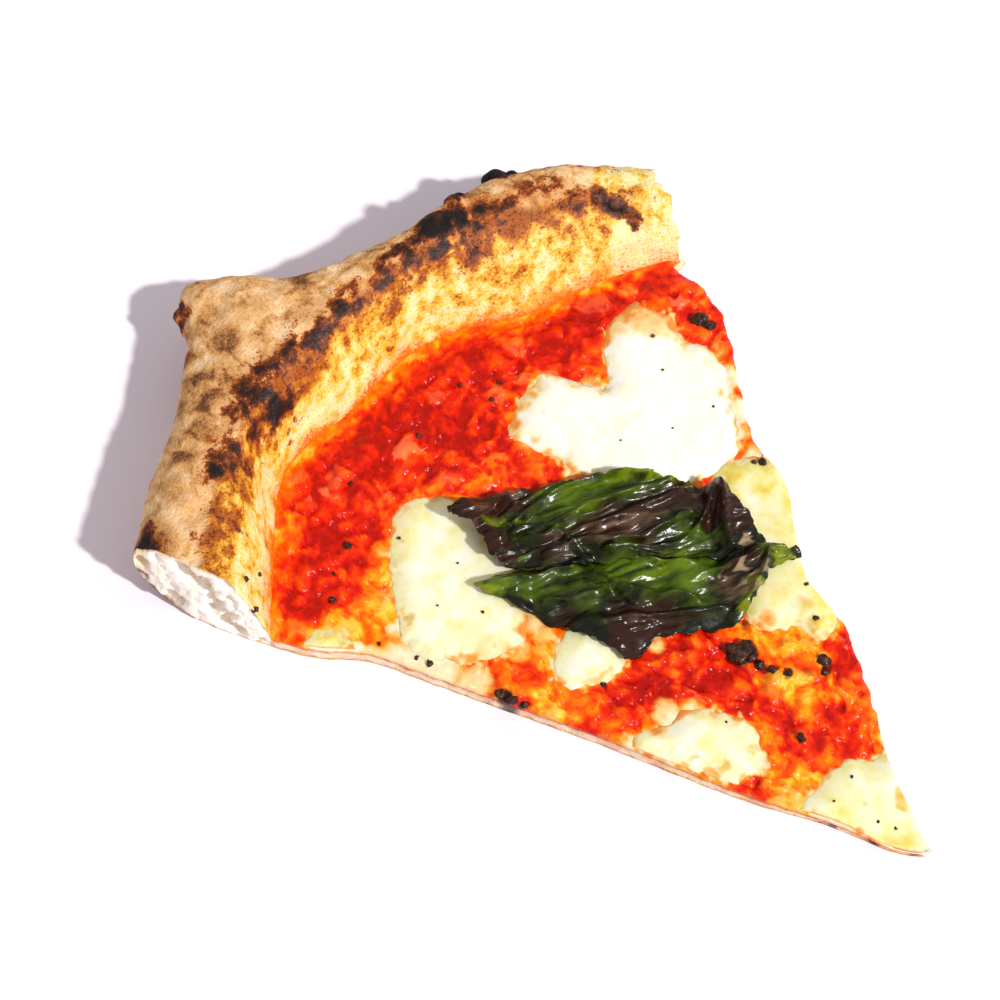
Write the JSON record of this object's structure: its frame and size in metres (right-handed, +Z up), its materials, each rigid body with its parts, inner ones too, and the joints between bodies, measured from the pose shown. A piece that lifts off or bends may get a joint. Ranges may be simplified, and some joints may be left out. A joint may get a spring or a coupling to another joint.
{
  "type": "cheese pizza slice",
  "caption": "Wedge of Neapolitan-style cheese pizza lying flat: puffed, charred rim on a thin base, tomato sauce, melted mozzarella pools and wilted basil.",
  "frame": {"origin": "centre of the bounding box at the height of the table the slice lies on", "axes": "+Z up, the tip points towards -Y and the rim towards +Y, +X to the right when looking from the tip to the rim from above"},
  "size_m": [0.1367, 0.1804, 0.0221],
  "materials": {
    "baked_dough": "dry baked dough, floury tan with brown and charred blisters, creamy crumb at the cuts",
    "tomato_sauce": "wet, oily crushed tomato, red to orange",
    "mozzarella": "soft melted cheese, cream white, faintly glossy",
    "basil_leaf": "wilted oily leaf, dark green to purple black"
  },
  "bodies": {
    "root": {"dough": "baked_dough", "tomato_sauce": "tomato_sauce", "mozzarella_large": "mozzarella", "mozzarella_left": "mozzarella", "mozzarella_small": "mozzarella", "mozzarella_low": "mozzarella", "mozzarella_tip": "mozzarella", "mozzarella_right": "mozzarella", "mozzarella_drip": "mozzarella", "basil_leaf_lower": "basil_leaf", "basil_leaf_upper": "basil_leaf"}
  },
  "joints": []
}
